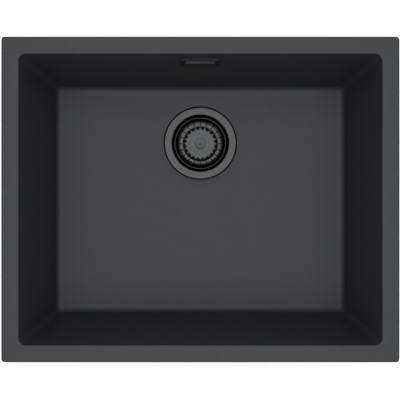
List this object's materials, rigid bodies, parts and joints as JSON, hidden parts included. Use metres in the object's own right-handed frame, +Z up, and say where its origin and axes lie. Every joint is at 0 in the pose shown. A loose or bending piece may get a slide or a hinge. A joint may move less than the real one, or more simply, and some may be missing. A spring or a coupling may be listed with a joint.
{
  "type": "inset kitchen sink",
  "caption": "Single-bowl inset kitchen sink of dark granite composite with lift-out strainer basket, waste, rear overflow and worktop clamps.",
  "frame": {"origin": "middle of the sink on the underside of the sealing strip, which is the worktop's surface", "axes": "+X to the right along the long side, +Y to the rear, where the waste and the overflow are, +Z up"},
  "size_m": [0.55, 0.4619, 0.2915],
  "materials": {
    "composite": "matte",
    "gunmetal": "satin",
    "black_plastic": "matte",
    "rubber": "matte",
    "brass": "satin",
    "zinc_steel": "satin"
  },
  "bodies": {
    "sink": {"sink_bowl": "composite", "rim_strip": "rubber", "clamp_inserts": "brass", "waste_flange": "gunmetal", "flange_seal": "rubber", "body_gasket": "rubber", "waste_body": "black_plastic", "body_insert": "brass", "centre_screw": "brass", "overflow_frame": "gunmetal", "overflow_cover": "gunmetal", "overflow_screws": "zinc_steel", "overflow_gasket": "rubber", "overflow_housing": "black_plastic", "overflow_pipe": "black_plastic", "pipe_nut_top": "black_plastic", "pipe_nut_bottom": "black_plastic", "pipe_seal_top": "rubber", "pipe_seal_bottom": "rubber"},
    "post": {"strainer_post": "gunmetal", "post_ring": "rubber"},
    "basket": {"basket": "gunmetal", "basket_seal": "rubber", "seal_retainer": "black_plastic"},
    "clamp_screw_1": {"clamp_screw_1": "zinc_steel"},
    "clamp_tongue_1": {"clamp_tongue_1": "zinc_steel"},
    "clamp_screw_2": {"clamp_screw_2": "zinc_steel"},
    "clamp_tongue_2": {"clamp_tongue_2": "zinc_steel"},
    "clamp_screw_3": {"clamp_screw_3": "zinc_steel"},
    "clamp_tongue_3": {"clamp_tongue_3": "zinc_steel"},
    "clamp_screw_4": {"clamp_screw_4": "zinc_steel"},
    "clamp_tongue_4": {"clamp_tongue_4": "zinc_steel"},
    "clamp_screw_5": {"clamp_screw_5": "zinc_steel"},
    "clamp_tongue_5": {"clamp_tongue_5": "zinc_steel"},
    "clamp_screw_6": {"clamp_screw_6": "zinc_steel"},
    "clamp_tongue_6": {"clamp_tongue_6": "zinc_steel"}
  },
  "joints": [
    {"name": "basket_lift", "type": "slide", "parent": "sink", "child": "post", "axis": [0, 0, 1], "range_m": [0, 0.25]},
    {"name": "basket_spin", "type": "hinge", "parent": "post", "child": "basket", "pos_m": [0, 0.09, -0.21], "axis": [0, 0, 1], "continuous": true},
    {"name": "clamp_1_rise", "type": "slide", "parent": "sink", "child": "clamp_screw_1", "axis": [0, 0, 1], "range_m": [0, 0.012]},
    {"name": "clamp_1_swing", "type": "hinge", "parent": "clamp_screw_1", "child": "clamp_tongue_1", "pos_m": [-0.14, 0.2118, -0.0472], "axis": [0, 0, 1], "range_deg": [0, 90]},
    {"name": "clamp_2_rise", "type": "slide", "parent": "sink", "child": "clamp_screw_2", "axis": [0, 0, 1], "range_m": [0, 0.012]},
    {"name": "clamp_2_swing", "type": "hinge", "parent": "clamp_screw_2", "child": "clamp_tongue_2", "pos_m": [0.14, 0.2118, -0.0472], "axis": [0, 0, 1], "range_deg": [0, 90]},
    {"name": "clamp_3_rise", "type": "slide", "parent": "sink", "child": "clamp_screw_3", "axis": [0, 0, 1], "range_m": [0, 0.012]},
    {"name": "clamp_3_swing", "type": "hinge", "parent": "clamp_screw_3", "child": "clamp_tongue_3", "pos_m": [-0.2618, 0, -0.0472], "axis": [0, 0, 1], "range_deg": [0, 90]},
    {"name": "clamp_4_rise", "type": "slide", "parent": "sink", "child": "clamp_screw_4", "axis": [0, 0, 1], "range_m": [0, 0.012]},
    {"name": "clamp_4_swing", "type": "hinge", "parent": "clamp_screw_4", "child": "clamp_tongue_4", "pos_m": [0.2618, 0, -0.0472], "axis": [0, 0, 1], "range_deg": [0, 90]},
    {"name": "clamp_5_rise", "type": "slide", "parent": "sink", "child": "clamp_screw_5", "axis": [0, 0, 1], "range_m": [0, 0.012]},
    {"name": "clamp_5_swing", "type": "hinge", "parent": "clamp_screw_5", "child": "clamp_tongue_5", "pos_m": [-0.14, -0.2118, -0.0472], "axis": [0, 0, 1], "range_deg": [0, 90]},
    {"name": "clamp_6_rise", "type": "slide", "parent": "sink", "child": "clamp_screw_6", "axis": [0, 0, 1], "range_m": [0, 0.012]},
    {"name": "clamp_6_swing", "type": "hinge", "parent": "clamp_screw_6", "child": "clamp_tongue_6", "pos_m": [0.14, -0.2118, -0.0472], "axis": [0, 0, 1], "range_deg": [0, 90]}
  ]
}
